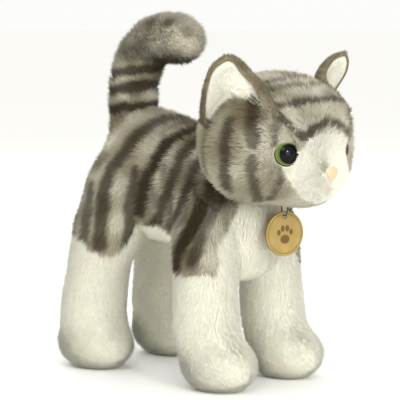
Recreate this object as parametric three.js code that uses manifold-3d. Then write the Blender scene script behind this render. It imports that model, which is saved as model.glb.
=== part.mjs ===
// A standing plush tabby cat: fur-fabric panels over polyester stuffing, plastic safety eyes and a
// round hang tag on a string loop. Millimetres, +Z up; the cat faces -Y and its left side is +X.
// "Ahead" is a distance along -Y from the middle of the stance, so it is negative behind it.
import * as THREE from "three";
import { mergeVertices } from "three/addons/utils/BufferGeometryUtils.js";
import Module from "manifold-3d";

const wasm = await Module();
wasm.setup();

// ---------------------------------------------------------------- driving dimensions
const PILE = 6; // the fabric with its standing pile, from the stuffing to the fur tips
const GAP = 0.3; // between neighbouring pieces
const RUN = 1.9; // between round faces that turn against each other, facets included
const LIMB_SIDES = 12; // facets round a limb
const BALL_ROWS = 6; // facets from the top to the bottom of a ball

const HEAD = { ahead: 88, z: 197, halfWidth: 64, halfDepth: 58, halfHeight: 53 };
const HEAD_SEAM_X = 20; // half width of the crown and of the gusset under the chin
const MUZZLE = { ahead: 118, z: 172, halfWidth: 34, halfDepth: 32, halfHeight: 26 };
const NECK = { ahead: 50, z: 166, radius: 19 };
const HEAD_ROOM = { ahead: 88, z: 195, halfWidth: 76, halfDepth: 68, halfHeight: 64 };

const EYE = { x: 30, ahead: 129, z: 187, turn: 31, radius: 9, dome: 4.6, post: 2.4, postLength: 11 };
const LINER = { radius: 10.8, thick: 0.8 };
const WASHER = { radius: 7, thick: 1.2, depth: 8 };
const NOSE = { ahead: 147.5, z: 174, halfWidth: 5.5, halfDepth: 3.5, halfHeight: 5.2 };
const MOUTH = { ahead: 148.9, z: 166, halfWidth: 6.5, sag: 4, thread: 0.9 };

const EAR = { x: 45, ahead: 97, z: 233, turn: 56, lean: 24, tilt: 19, cup: 0.009, thick: 8, lining: 4.4 };
const EAR_OUTLINE = [[-16, 25], [-4, 25.5], [8, 21], [18, 14.5], [26, 7], [30, 2]]; // [height, half width]
const EAR_ROOT = { halfLength: 15, radius: 5 }; // the rolled seam that the ear turns on
const EAR_CLEAR = 3.2; // between the rest of the ear and the head

const FRONT_LEG = { hipX: 34, ahead: 49, hipZ: 126, ball: 24.5, footX: 37.5 };
const HIND_LEG = { hipX: 33, ahead: -70, hipZ: 132, ball: 25, footX: 41.5 };
const LEG_SWING = 14; // degrees either way
const LEG_SEAM_Z = 90; // the tabby upper leg meets the white sleeve
const SOLE_THICK = 3;

const BELLY_Z = 118; // the side panels meet the belly
const CHEST_AHEAD = 62; // the side panels and the belly meet the chest

const TAIL_RADIUS = 21;
const TAIL_OPENING = 10; // radius of the gap in the skin below a tail piece's root
const TAIL_SWING = 15; // degrees either way
const TAG = { ahead: 98, holeZ: 134, radius: 17.5, thick: 2, holeUp: 13.5, hole: 2.3, turn: 10, groove: 15 };
const STRING = { thread: 0.6, top: 148, bottom: 134.7, halfDepth: 3 };
const STRING_POCKET = { halfWidth: 1.6, halfDepth: 7, top: 149.4 };

// ---------------------------------------------------------------- tools
const WELD = 1e-4;
const FAR = 400;
const rad = THREE.MathUtils.degToRad;
const BOTH_SIDES = [1, -1];
const nameOf = (side) => (side > 0 ? "left" : "right");

// A closed geometry as a manifold solid, with its shared vertices merged.
function solid(geometry) {
  const bare = geometry.index ? geometry.toNonIndexed() : geometry.clone();
  bare.deleteAttribute("normal");
  bare.deleteAttribute("uv");
  const merged = mergeVertices(bare, WELD);
  const index = merged.index.array;
  const triangles = [];
  for (let i = 0; i < index.length; i += 3) {
    const [a, b, c] = index.subarray(i, i + 3);
    if (a !== b && b !== c && c !== a) triangles.push(a, b, c);
  }
  return new wasm.Manifold(
    new wasm.Mesh({
      numProp: 3,
      vertProperties: merged.attributes.position.array,
      triVerts: new Uint32Array(triangles),
    }),
  );
}

function geometryOf(body) {
  const mesh = body.getMesh();
  const geometry = new THREE.BufferGeometry();
  geometry.setAttribute("position", new THREE.BufferAttribute(new Float32Array(mesh.vertProperties), 3));
  geometry.setIndex(new THREE.BufferAttribute(new Uint32Array(mesh.triVerts), 1));
  const flat = geometry.toNonIndexed();
  flat.computeVertexNormals();
  return flat;
}

const union = (bodies) => bodies.reduce((all, next) => all.add(next));
const largest = (body) => body.decompose().sort((a, b) => b.volume() - a.volume())[0];

// Elliptical sections stacked along Z, each [height, centreX, centreY, halfX, halfY], with flat ends.
function stack(sections, sides = LIMB_SIDES) {
  const closed = ([height, x, y]) => [height, x, y, 0, 0];
  const rows = [closed(sections[0]), ...sections, closed(sections[sections.length - 1])];
  const profile = rows.map((_, i) => new THREE.Vector2(i === 0 || i === rows.length - 1 ? 0 : 1, i));
  const geometry = new THREE.LatheGeometry(profile, sides);
  const position = geometry.attributes.position;
  for (let i = 0; i < position.count; i++) {
    const [height, x, y, halfX, halfY] = rows[i % rows.length];
    position.setXYZ(i, x + halfX * position.getX(i), y - halfY * position.getZ(i), height);
  }
  return geometry;
}

function ellipsoid(centre, half, around = 14, down = 8) {
  return new THREE.SphereGeometry(1, around, down).scale(...half).translate(...centre);
}

function block(low, high) {
  const size = high.map((v, i) => v - low[i]);
  const middle = low.map((v, i) => v + size[i] / 2);
  return solid(new THREE.BoxGeometry(...size).translate(...middle));
}

const above = (z) => block([-FAR, -FAR, z], [FAR, FAR, FAR]);
const below = (z) => block([-FAR, -FAR, -FAR], [FAR, FAR, z]);
const aheadOf = (distance) => block([-FAR, -FAR, -FAR], [FAR, -distance, FAR]);
const behind = (distance) => block([-FAR, -distance, -FAR], [FAR, FAR, FAR]);
const within = (halfWidth) => block([-halfWidth, -FAR, -FAR], [halfWidth, FAR, FAR]);
const beyond = (side, x) => (side > 0
  ? block([x, -FAR, -FAR], [FAR, FAR, FAR])
  : block([-FAR, -FAR, -FAR], [-x, FAR, FAR]));

// Round sections strung along a line in the plane X = 0, each [centreY, centreZ, radius].
function bentStack(rows, sides) {
  const [first, last] = [rows[0], rows[rows.length - 1]];
  const all = [[first[0], first[1], 0], ...rows, [last[0], last[1], 0]];
  const profile = all.map((_, i) => new THREE.Vector2(i === 0 || i === all.length - 1 ? 0 : 1, i));
  const geometry = new THREE.LatheGeometry(profile, sides);
  const position = geometry.attributes.position;
  for (let i = 0; i < position.count; i++) {
    const row = i % all.length;
    const [y, z, radius] = all[row];
    const next = all[Math.min(row + 1, all.length - 2)];
    const back = all[Math.max(row - 1, 1)];
    const along = Math.atan2(next[0] - back[0], next[1] - back[1]);
    const across = -radius * position.getZ(i);
    position.setXYZ(i, radius * position.getX(i), y + across * Math.cos(along), z - across * Math.sin(along));
  }
  return geometry;
}

// A turned shape that points ahead, from its profile of [radius, distance ahead].
function turnedAhead(profile, sides) {
  const points = profile.map(([r, d]) => new THREE.Vector2(r, d));
  return new THREE.LatheGeometry(points, sides).rotateZ(Math.PI);
}

// ---------------------------------------------------------------- materials and the group
const look = (color, roughness, metalness = 0) =>
  new THREE.MeshStandardMaterial({ color, roughness, metalness });
const LOOKS = {
  tabby: look(0x8a8270, 0.95),
  ear: look(0x8f8468, 0.95),
  white: look(0xefeee4, 0.95),
  stuffing: look(0xf6f6f2, 1),
  iris: look(0x7d9a3c, 0.08),
  liner: look(0x17130f, 0.6),
  washer: look(0xe8e6df, 0.5),
  nose: look(0xf6bf9c, 0.8),
  tag: look(0xc8ae6c, 0.35, 0.4),
  string: look(0x4a3a20, 0.85),
};

const cat = new THREE.Group();
cat.name = "plush_cat";

function add(name, body, material) {
  const mesh = new THREE.Mesh(geometryOf(body), LOOKS[material].clone());
  mesh.name = name;
  cat.add(mesh);
}

// ---------------------------------------------------------------- legs
// The shape of each leg below its hip: [height, how far ahead of the hip, half width, half length].
const FRONT_SHIN = [[0.6, 16, 21, 28], [8, 17, 25.5, 32.5], [26, 12.5, 25.4, 29.8], [44, 5, 24.7, 26],
  [66, 2.5, 24.6, 25], [101, 0.5, 24.4, 24.8]];
const HIND_SHIN = [[0.6, -1, 22, 30], [8, -1, 26.5, 35], [25, -3, 27, 33], [42, -7, 26, 28],
  [64, -7, 25.5, 26], [100, -2, 25, 25]];

// A leg hangs from its hip ball; the paw reaches ahead of it. A positive grow swells the surface.
function legShape(leg, side, grow) {
  const shin = leg === FRONT_LEG ? FRONT_SHIN : HIND_SHIN;
  const lean = (z) => leg.footX + (leg.hipX - leg.footX) * Math.min(1, z / leg.hipZ);
  const floor = grow < 0 ? SOLE_THICK - (grow / PILE) * GAP : -grow;
  const rows = shin.map(([z, ahead, halfX, halfY], i) => [
    i === 0 ? floor : z, side * lean(z), -leg.ahead - ahead, halfX + grow, halfY + grow,
  ]);
  return stack([...rows, ...hipBall(leg, side, grow)]);
}

// The upper half of the hip's ball, as sections.
function hipBall(leg, side, grow) {
  const radius = leg.ball + grow;
  return [0, 28, 54, 80].map((a) => [
    leg.hipZ + radius * Math.sin(rad(a)), side * leg.hipX, -leg.ahead,
    radius * Math.cos(rad(a)), radius * Math.cos(rad(a)),
  ]);
}

// The space in the torso that a swinging leg passes through.
function legRoom(leg, side) {
  const round = leg.ball + RUN + 0.5;
  const reach = round + (leg.hipZ - LEG_SEAM_Z) * Math.tan(rad(LEG_SWING));
  const low = [LEG_SEAM_Z - 20, side * leg.hipX, -leg.ahead, round + 1, reach + 9];
  return solid(stack([low, ...hipBall(leg, side, RUN + 0.5)]));
}

function addLeg(leg, word, side) {
  const name = `${word}_leg_${nameOf(side)}`;
  const outside = solid(legShape(leg, side, 0));
  const inside = solid(legShape(leg, side, -PILE));
  const skin = outside.subtract(inside);
  add(`${name}_upper_skin`, skin.intersect(above(LEG_SEAM_Z + GAP)), "tabby");
  add(`${name}_sleeve_skin`, skin.intersect(below(LEG_SEAM_Z)).intersect(above(SOLE_THICK + GAP)), "white");
  add(`${name}_sole`, outside.intersect(below(SOLE_THICK)), "white");
  add(`${name}_fill`, solid(legShape(leg, side, -PILE - GAP)).intersect(above(SOLE_THICK + GAP)), "stuffing");
}

for (const side of BOTH_SIDES) {
  addLeg(FRONT_LEG, "front", side);
  addLeg(HIND_LEG, "hind", side);
}

// ---------------------------------------------------------------- tail
// Its middle line rises from the rump, then curls forward over the back.
const TAIL_LINE = [
  [0, 66, 172], [0, 71, 207], [0, 70, 231], [0, 62, 252], [0, 47, 265], [0, 30, 269], [0, 17, 267],
];
const TAIL_ROOT = TAIL_LINE[0];
const TAIL_BEND = TAIL_LINE[2];

const ball = (centre, radius) => solid(ellipsoid(centre, [radius, radius, radius], LIMB_SIDES, BALL_ROWS));

// A stretch of tail with half-ball ends, from one point of its middle line to another.
function tailShape(from, to, grow) {
  const radius = TAIL_RADIUS + grow;
  const line = TAIL_LINE.slice(from, to + 1);
  const cap = (end, beyondIt) => {
    const along = Math.atan2(end[1] - beyondIt[1], end[2] - beyondIt[2]);
    return [28, 56, 82].map((a) => {
      const out = radius * Math.sin(rad(a));
      return [end[1] + out * Math.sin(along), end[2] + out * Math.cos(along), radius * Math.cos(rad(a))];
    });
  };
  const rows = [
    ...cap(line[0], line[1]).reverse(),
    ...line.map(([, y, z]) => [y, z, radius]),
    ...cap(line[line.length - 1], line[line.length - 2]),
  ];
  return solid(bentStack(rows, LIMB_SIDES));
}

// The skin is open below its root, so that the stuffing runs through to the piece that carries it.
function addTail(name, from, to, room) {
  const [, y, z] = TAIL_LINE[from];
  const opening = ball([0, y, z - TAIL_RADIUS], TAIL_OPENING);
  const skin = tailShape(from, to, 0).subtract(tailShape(from, to, -PILE));
  add(`${name}_skin`, largest(skin.subtract(opening).subtract(room)), "tabby");
  add(`${name}_fill`, largest(tailShape(from, to, -PILE - GAP).subtract(room)), "stuffing");
}

const bendRoom = union([ball(TAIL_BEND, TAIL_RADIUS + RUN), above(TAIL_BEND[2] + 2)]);
addTail("tail_lower", 0, 2, bendRoom);
addTail("tail_upper", 2, 6, below(0));

// ---------------------------------------------------------------- head
const neckPivot = [0, -NECK.ahead, NECK.z];
const neckRoom = ball(neckPivot, NECK.radius + RUN);

function headShape(grow) {
  const half = [HEAD.halfWidth + grow, HEAD.halfDepth + grow, HEAD.halfHeight + grow];
  return solid(ellipsoid([0, -HEAD.ahead, HEAD.z], half, 16, 10));
}

function muzzleShape(grow) {
  const half = [MUZZLE.halfWidth + grow, MUZZLE.halfDepth + grow, MUZZLE.halfHeight + grow];
  return solid(ellipsoid([0, -MUZZLE.ahead, MUZZLE.z], half, 14, 8));
}

function placeEye(geometry, side) {
  return solid(geometry.rotateZ(rad(side * EYE.turn)).translate(side * EYE.x, -EYE.ahead, EYE.z));
}

const { radius: eyeR, dome, post, postLength } = EYE;
const eyeShape = () => turnedAhead(
  [[0, -postLength], [post, -postLength], [post, 0], [eyeR, 0], [eyeR * 0.96, dome * 0.4],
    [eyeR * 0.72, dome * 0.78], [eyeR * 0.36, dome * 0.96], [0, dome]], 12);
const eyeRoom = () => turnedAhead(
  [[0, -postLength - GAP], [post + GAP, -postLength - GAP], [post + GAP, -LINER.thick - 2 * GAP],
    [LINER.radius + GAP, -LINER.thick - 2 * GAP], [LINER.radius + 3, 16], [0, 16]], 12);
const ringShape = (radius, back, front) => turnedAhead(
  [[post + GAP, back], [radius, back], [radius, front], [post + GAP, front], [post + GAP, back]], 12);
const washerRoom = () => turnedAhead(
  [[0, -WASHER.depth - WASHER.thick - GAP], [WASHER.radius + GAP, -WASHER.depth - WASHER.thick - GAP],
    [WASHER.radius + GAP, -WASHER.depth + GAP], [0, -WASHER.depth + GAP]], 12);

for (const side of BOTH_SIDES) {
  const name = `eye_${nameOf(side)}`;
  add(name, placeEye(eyeShape(), side), "iris");
  add(`${name}_liner`, placeEye(ringShape(LINER.radius, -LINER.thick - GAP, -GAP), side), "liner");
  const back = -WASHER.depth - WASHER.thick;
  add(`${name}_washer`, placeEye(ringShape(WASHER.radius, back, -WASHER.depth), side), "washer");
}

const nose = (grow) => solid(ellipsoid([0, -NOSE.ahead, NOSE.z],
  [NOSE.halfWidth + grow, NOSE.halfDepth + grow, NOSE.halfHeight + grow], 10, 6));

// A thread that follows the muzzle's curve below the nose.
function mouth(grow) {
  const rows = [-1, -0.6, -0.2, 0.2, 0.6, 1].map((t) => [0, MOUTH.halfWidth * t * (1 + grow / 20), MOUTH.thread + grow]);
  const geometry = bentStack(rows, 6).rotateY(Math.PI / 2);
  const position = geometry.attributes.position;
  for (let i = 0; i < position.count; i++) {
    const t = position.getX(i) / MOUTH.halfWidth;
    position.setY(i, position.getY(i) - MOUTH.ahead + 1.4 * t * t);
    position.setZ(i, position.getZ(i) + MOUTH.z - MOUTH.sag * t * t);
  }
  return solid(geometry);
}

add("nose", nose(0), "nose");
add("mouth_stitch", mouth(0), "nose");

// ---------------------------------------------------------------- ears
// A leaf that turns on the X axis, cupped so that its hollow faces -Y.
function earLeaf(inset, middle, thick) {
  const sections = EAR_OUTLINE.map(([z, halfX]) => [
    z > 0 ? z * (1 - inset / 34) : z, 0, middle, Math.max(halfX - inset, 0.8), (thick / 2) * (1 - z / 110),
  ]);
  const geometry = stack(sections);
  const position = geometry.attributes.position;
  for (let i = 0; i < position.count; i++) {
    const x = position.getX(i);
    position.setY(i, position.getY(i) - EAR.cup * x * x);
  }
  return geometry;
}

function placeEar(geometry, side) {
  return solid(geometry
    .rotateY(rad(side * EAR.tilt))
    .rotateX(rad(EAR.lean))
    .rotateZ(rad(side * EAR.turn))
    .translate(side * EAR.x, -EAR.ahead, EAR.z));
}

const earRoot = (side, grow) => placeEar(ellipsoid([0, 0, 0],
  [EAR_ROOT.halfLength + grow, EAR_ROOT.radius + grow, EAR_ROOT.radius + grow], 10, 6), side);
for (const side of BOTH_SIDES) {
  const name = `ear_${nameOf(side)}`;
  const lining = placeEar(earLeaf(4, -3, EAR.lining), side);
  const pocket = placeEar(earLeaf(4 - GAP, -3, EAR.lining + 2 * GAP), side);
  const leaf = placeEar(earLeaf(0, 0, EAR.thick), side).subtract(headShape(EAR_CLEAR));
  add(`${name}_back`, largest(leaf.add(earRoot(side, 0)).subtract(pocket)), "ear");
  add(`${name}_lining`, largest(lining.subtract(headShape(EAR_CLEAR))), "white");
}

// ---------------------------------------------------------------- head panels and stuffing
const eyeRooms = union(BOTH_SIDES.map((side) => placeEye(eyeRoom(), side)));
const earRooms = union(BOTH_SIDES.map((side) => earRoot(side, RUN)));
const headHollows = union([eyeRooms, earRooms, neckRoom]);
const headInside = headShape(-PILE);
const stringPocket = block(
  [-STRING_POCKET.halfWidth, -TAG.ahead - STRING_POCKET.halfDepth, 0],
  [STRING_POCKET.halfWidth, -TAG.ahead + STRING_POCKET.halfDepth, STRING_POCKET.top],
);
const headSkin = headShape(0).subtract(headInside).subtract(headHollows).subtract(muzzleShape(GAP));
for (const side of BOTH_SIDES) {
  add(`head_side_${nameOf(side)}`, largest(headSkin.intersect(beyond(side, HEAD_SEAM_X + GAP))), "tabby");
}
const middleStrip = headSkin.intersect(within(HEAD_SEAM_X));
add("head_crown", largest(middleStrip.intersect(above(HEAD.z))), "tabby");
add("head_chin", largest(middleStrip.intersect(below(HEAD.z - GAP)).subtract(stringPocket)), "tabby");
const muzzleSkin = muzzleShape(0).subtract(headInside).subtract(eyeRooms).subtract(nose(GAP)).subtract(mouth(GAP));
add("muzzle", largest(muzzleSkin), "white");
const washerRooms = union(BOTH_SIDES.map((side) => placeEye(washerRoom(), side)));
add("head_fill", largest(headShape(-PILE - GAP).subtract(headHollows).subtract(washerRooms)), "stuffing");
add("neck_fill", ball(neckPivot, NECK.radius), "stuffing");

// ---------------------------------------------------------------- torso
// Sections from the rump to the chest: [ahead, middle height, half width, half height].
const TORSO = [
  [-91, 156, 8, 10], [-84, 157, 25, 30], [-70, 159, 36, 45], [-44, 159, 42, 52], [-8, 153, 44, 52],
  [28, 144, 43, 48], [55, 131, 38, 49], [72, 126, 28, 40], [84, 122, 16, 22], [88, 121, 6, 8],
];

function torsoShape(grow) {
  const sections = TORSO.map(([ahead, z, halfX, halfZ]) => [
    ahead * (1 + grow / 90), 0, z, Math.max(halfX + grow, 2), Math.max(halfZ + grow, 2),
  ]);
  return solid(stack(sections, 14).rotateX(Math.PI / 2));
}

const headRoom = solid(ellipsoid([0, -HEAD_ROOM.ahead, HEAD_ROOM.z],
  [HEAD_ROOM.halfWidth, HEAD_ROOM.halfDepth, HEAD_ROOM.halfHeight], 16, 10));

// The root ball, and the space above it that the swinging tail passes through.
function tailRoomShape() {
  const [, y, z] = TAIL_ROOT;
  const round = TAIL_RADIUS + RUN;
  const rise = 60;
  const caps = [-85, -60, -30, 0].map((a) => [
    z + round * Math.sin(rad(a)), 0, y, round * Math.cos(rad(a)), round * Math.cos(rad(a)),
  ]);
  return solid(stack([...caps, [z + rise, 0, y + 3, round, round + rise * Math.tan(rad(TAIL_SWING)) + 8]]));
}

const tailRoom = tailRoomShape();
const legRooms = BOTH_SIDES.flatMap((side) => [legRoom(FRONT_LEG, side), legRoom(HIND_LEG, side)]);
const torsoHollows = union([...legRooms, headRoom, neckRoom, tailRoom]);
const torsoSkin = torsoShape(0).subtract(torsoShape(-PILE)).subtract(torsoHollows);
const rearSkin = torsoSkin.intersect(behind(CHEST_AHEAD));
for (const side of BOTH_SIDES) {
  const panel = rearSkin.intersect(beyond(side, GAP / 2)).intersect(above(BELLY_Z));
  add(`torso_side_${nameOf(side)}`, largest(panel), "tabby");
}
add("torso_belly", largest(rearSkin.intersect(below(BELLY_Z - GAP))), "white");
add("torso_chest", largest(torsoSkin.intersect(aheadOf(CHEST_AHEAD + GAP))), "white");
add("torso_fill", largest(torsoShape(-PILE - GAP).subtract(torsoHollows)), "stuffing");

// ---------------------------------------------------------------- hang tag
function tagDisc() {
  const half = TAG.thick / 2;
  const disc = turnedAhead(
    [[0, -half], [TAG.radius, -half], [TAG.radius, half], [TAG.groove + 0.5, half],
      [TAG.groove, half - 0.4], [TAG.groove - 0.5, half], [0, half]], 24);
  const drill = turnedAhead([[0, -FAR], [TAG.hole, -FAR], [TAG.hole, FAR], [0, FAR]], 10);
  return solid(disc.translate(0, 0, -TAG.holeUp))
    .subtract(solid(drill))
    .rotate([0, 0, -TAG.turn])
    .translate([0, -TAG.ahead, TAG.holeZ]);
}

const stringHalf = (STRING.top - STRING.bottom) / 2;
const string = new THREE.TorusGeometry(1, STRING.thread / stringHalf, 5, 14);
const stringPosition = string.attributes.position;
for (let i = 0; i < stringPosition.count; i++) {
  const angle = Math.atan2(stringPosition.getY(i), stringPosition.getX(i));
  const across = (Math.hypot(stringPosition.getX(i), stringPosition.getY(i)) - 1) * stringHalf;
  const thread = [Math.cos(angle), Math.sin(angle)];
  stringPosition.setXYZ(
    i,
    stringPosition.getZ(i) * stringHalf,
    -TAG.ahead + thread[0] * (STRING.halfDepth + across),
    (STRING.top + STRING.bottom) / 2 + thread[1] * (stringHalf + across),
  );
}
add("tag_disc", tagDisc(), "tag");
add("tag_string", solid(string), "string");

// ---------------------------------------------------------------- origin
// The middle of the box round the cat comes to Y = 0.
const middleY = new THREE.Box3().setFromObject(cat).getCenter(new THREE.Vector3()).y;
for (const mesh of cat.children) mesh.geometry.translate(0, -middleY, 0);

export default cat;
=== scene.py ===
"""Looks for the plush cat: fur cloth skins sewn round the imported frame, mesh fur, eyes, nose and tag."""
import math

import bmesh
import bpy
import numpy as np
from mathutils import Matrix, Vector
from mathutils.kdtree import KDTree


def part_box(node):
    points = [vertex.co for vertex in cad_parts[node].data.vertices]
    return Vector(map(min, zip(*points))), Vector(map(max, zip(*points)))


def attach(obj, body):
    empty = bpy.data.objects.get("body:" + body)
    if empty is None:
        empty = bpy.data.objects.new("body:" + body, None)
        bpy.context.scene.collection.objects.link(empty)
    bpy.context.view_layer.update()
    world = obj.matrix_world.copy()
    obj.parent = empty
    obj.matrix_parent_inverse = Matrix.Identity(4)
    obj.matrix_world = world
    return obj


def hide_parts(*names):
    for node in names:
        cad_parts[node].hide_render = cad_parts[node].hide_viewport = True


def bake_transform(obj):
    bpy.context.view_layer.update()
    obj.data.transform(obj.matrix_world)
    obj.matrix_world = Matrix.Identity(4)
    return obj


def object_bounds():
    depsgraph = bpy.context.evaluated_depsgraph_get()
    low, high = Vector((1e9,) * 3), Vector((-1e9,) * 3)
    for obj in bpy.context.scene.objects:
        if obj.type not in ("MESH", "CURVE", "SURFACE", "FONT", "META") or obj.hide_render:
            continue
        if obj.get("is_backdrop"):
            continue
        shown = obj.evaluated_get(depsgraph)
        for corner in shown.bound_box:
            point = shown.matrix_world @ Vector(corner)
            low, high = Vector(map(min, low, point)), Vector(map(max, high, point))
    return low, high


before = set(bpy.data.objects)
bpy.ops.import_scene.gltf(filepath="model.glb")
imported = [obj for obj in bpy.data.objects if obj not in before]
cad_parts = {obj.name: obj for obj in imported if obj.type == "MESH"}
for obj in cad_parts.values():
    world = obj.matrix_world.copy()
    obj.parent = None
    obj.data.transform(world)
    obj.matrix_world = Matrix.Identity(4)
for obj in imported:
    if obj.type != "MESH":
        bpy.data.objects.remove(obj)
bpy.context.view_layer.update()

# ---------- frame
# Shapes are worked out in millimetres: x to the cat's left, y back from the shoulders, z up.
MM = 0.001
TAG_AHEAD = 98.0
disc_low, disc_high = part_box("tag_disc")
SHIFT = np.array([0.0, (disc_low.y + disc_high.y) / 2 / MM + TAG_AHEAD, 0.0])


def to_row(points):
    """Millimetre points of the cat as metres in the row frame."""
    return (np.array(points, float) + SHIFT) * MM


# ---------- camera
AZIMUTH, ELEVATION, DISTANCE = math.radians(-45.0), math.radians(6.0), 1.5
BACK = Vector((math.sin(AZIMUTH) * math.cos(ELEVATION),
               -math.cos(AZIMUTH) * math.cos(ELEVATION), math.sin(ELEVATION)))
TARGET = Vector(to_row((3.4, -3.4, 139.1)))
SENSOR, LENS = 36.0, 168.75
NEAREST, FARTHEST = 0.05, 20.0


def in_scene(name, data):
    obj = bpy.data.objects.new(name, data)
    bpy.context.scene.collection.objects.link(obj)
    return obj


def aim(obj, location, target):
    """Stands a camera or a lamp at a place and turns it to look at another."""
    obj.location = location
    obj.rotation_mode = "QUATERNION"
    obj.rotation_quaternion = (Vector(target) - Vector(location)).to_track_quat("-Z", "Y")


camera = in_scene("camera", bpy.data.cameras.new("camera"))
bpy.context.scene.camera = camera
aim(camera, TARGET + BACK * DISTANCE, TARGET)
camera.data.sensor_width, camera.data.lens = SENSOR, LENS
camera.data.clip_start, camera.data.clip_end = NEAREST, FARTHEST

# ---------- the tag's string
# It leaves the seam under the chin, passes through the tag's hole and goes back in.
STRING_LINE = [(0.4, -99.6, 151.0), (0.3, -100.8, 146.0), (0.2, -101.0, 140.5), (0.1, -100.0, 135.9),
               (0.0, -98.0, 134.3), (-0.1, -96.0, 135.9), (-0.2, -95.2, 140.5), (-0.3, -95.3, 146.0),
               (-0.4, -96.4, 151.0)]
STRING_WIDTH = 1.1


def smooth_line(points, steps):
    """A line through the points, with that many steps between each two (Catmull-Rom)."""
    p = np.array(points, float)
    p = np.concatenate([[2 * p[0] - p[1]], p, [2 * p[-1] - p[-2]]])
    made = []
    for i in range(1, len(p) - 2):
        for t in np.arange(steps) / steps:
            a, b, c, d = p[i - 1], p[i], p[i + 1], p[i + 2]
            made.append(0.5 * (2 * b + (c - a) * t + (2 * a - 5 * b + 4 * c - d) * t ** 2
                               + (3 * b - a - 3 * c + d) * t ** 3))
    return np.array(made + [p[-2]])


def new_object(name, vertices, faces):
    """A mesh object from points in metres."""
    mesh = bpy.data.meshes.new(name)
    mesh.from_pydata([tuple(v) for v in vertices], [], faces)
    mesh.update()
    return in_scene(name, mesh)


def unit(v):
    return v / (np.linalg.norm(v, axis=-1, keepdims=True) + 1e-9)


def shade_smooth(mesh):
    mesh.polygons.foreach_set("use_smooth", [True] * len(mesh.polygons))


def read(items, key, size, kind=float):
    """One property of every item, in rows of that size."""
    values = np.empty(len(items) * size, kind)
    items.foreach_get(key, values)
    return values.reshape(-1, size)


def normals_out(obj):
    """Turns every face outwards and shades the object smoothly."""
    bm = bmesh.new()
    bm.from_mesh(obj.data)
    bmesh.ops.recalc_face_normals(bm, faces=bm.faces)
    bm.to_mesh(obj.data)
    bm.free()
    shade_smooth(obj.data)
    obj.data.update()


def ring_quads(rows, sides):
    """The faces between rows of points, where each row is a closed ring."""
    quads = []
    for i in range(rows - 1):
        for j in range(sides):
            a, b = i * sides + j, i * sides + (j + 1) % sides
            quads.append((a, b, b + sides, a + sides))
    return quads


def capped_rings(rows, sides):
    """Those faces, and a fan at each end round the two points that follow the rows."""
    faces = ring_quads(rows, sides)
    front, last = rows * sides, (rows - 1) * sides
    for j in range(sides):
        after = (j + 1) % sides
        faces.append((front, after, j))
        faces.append((front + 1, last + j, last + after))
    return faces


def tube(name, line, radius, level, sides=10):
    """A closed thread of that radius along a line. level is a direction that the line never takes."""
    line = np.array(line, float)
    ahead = unit(np.gradient(line, axis=0))
    across = unit(np.cross(ahead, level))
    third = np.cross(ahead, across)
    points = []
    for j in range(sides):
        a = 2 * math.pi * j / sides
        points.append(line + radius * (math.cos(a) * across + math.sin(a) * third))
    points = np.stack(points, 1).reshape(-1, 3)
    ends = [tuple(range(sides)), tuple(range((len(line) - 1) * sides, len(line) * sides))]
    obj = new_object(name, to_row(points), ring_quads(len(line), sides) + ends)
    normals_out(obj)
    return obj


string_points = smooth_line(STRING_LINE, 8)
string_loop = tube("tag_string_loop", string_points, STRING_WIDTH / 2, (1.0, 0.0, 0.0))
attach(string_loop, "tag")
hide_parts("tag_string")

# ---------- small maths
LATTICE_SIZE = 32
LATTICE = np.random.default_rng(20).random([LATTICE_SIZE] * 3)


def smooth(low, high, value):
    """A soft step from 0 at low to 1 at high."""
    t = np.clip((value - low) / (high - low), 0, 1)
    return t * t * (3 - 2 * t)


def noise(p, size, shift=0.0):
    """Smooth noise from 0 to 1, in lumps of that many millimetres."""
    q = p / size + 100.0 + shift
    cell = np.floor(q).astype(int)
    f = q - cell
    f = f * f * (3 - 2 * f)
    total = 0.0
    for i in (0, 1):
        for j in (0, 1):
            for k in (0, 1):
                weight = (np.where(i, f[:, 0], 1 - f[:, 0]) * np.where(j, f[:, 1], 1 - f[:, 1])
                          * np.where(k, f[:, 2], 1 - f[:, 2]))
                x, y, z = ((cell + np.array([i, j, k])) % LATTICE_SIZE).T
                total = total + weight * LATTICE[x, y, z]
    return total


def distance(p, centre):
    return np.linalg.norm(p - np.array(centre, float), axis=-1)


def ellipsoid(p, centre, radii):
    """About how far each point lies outside an ellipsoid. Inside it is less than nothing."""
    q = p - np.array(centre, float)
    r = np.array(radii, float)
    k0 = np.sqrt(((q / r) ** 2).sum(-1))
    k1 = np.sqrt(((q / r ** 2) ** 2).sum(-1)) + 1e-9
    return k0 * (k0 - 1) / k1


def capsule(p, a, b, radius_a, radius_b):
    """How far each point lies outside a rod with round ends, whose radius changes from a to b."""
    a, b = np.array(a, float), np.array(b, float)
    ab = b - a
    t = np.clip(((p - a) @ ab) / (ab @ ab), 0, 1)
    return np.linalg.norm(p - a - t[..., None] * ab, axis=-1) - (radius_a + (radius_b - radius_a) * t)


def join(a, b, k):
    """Smooth union: the fillet between the two is about k wide."""
    h = np.clip(0.5 + 0.5 * (b - a) / k, 0, 1)
    return b + (a - b) * h - k * h * (1 - h)


def mirrored(p):
    """Both sides of the cat as its left side."""
    q = p.copy()
    q[..., 0] = np.abs(q[..., 0])
    return q


# ---------- the cat's outer shape, pile included
EYE = np.array([31.9, -128.7, 185.2])
EYE_AZIMUTH = math.radians(33.0)
EYE_LOOKS = np.array([math.sin(EYE_AZIMUTH), -math.cos(EYE_AZIMUTH), 0.0])
EYE_PAD, EYE_PAD_EDGE, EYE_PAD_SINK = 10.5, 17.0, 0.9
TAIL_LINE = np.array([[0, 66, 172], [0, 71, 207], [0, 70, 231], [0, 62, 252], [0, 47, 265],
                      [0, 30, 269], [0, 15, 267]], float)
TAIL_RADIUS = 21.3


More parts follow.
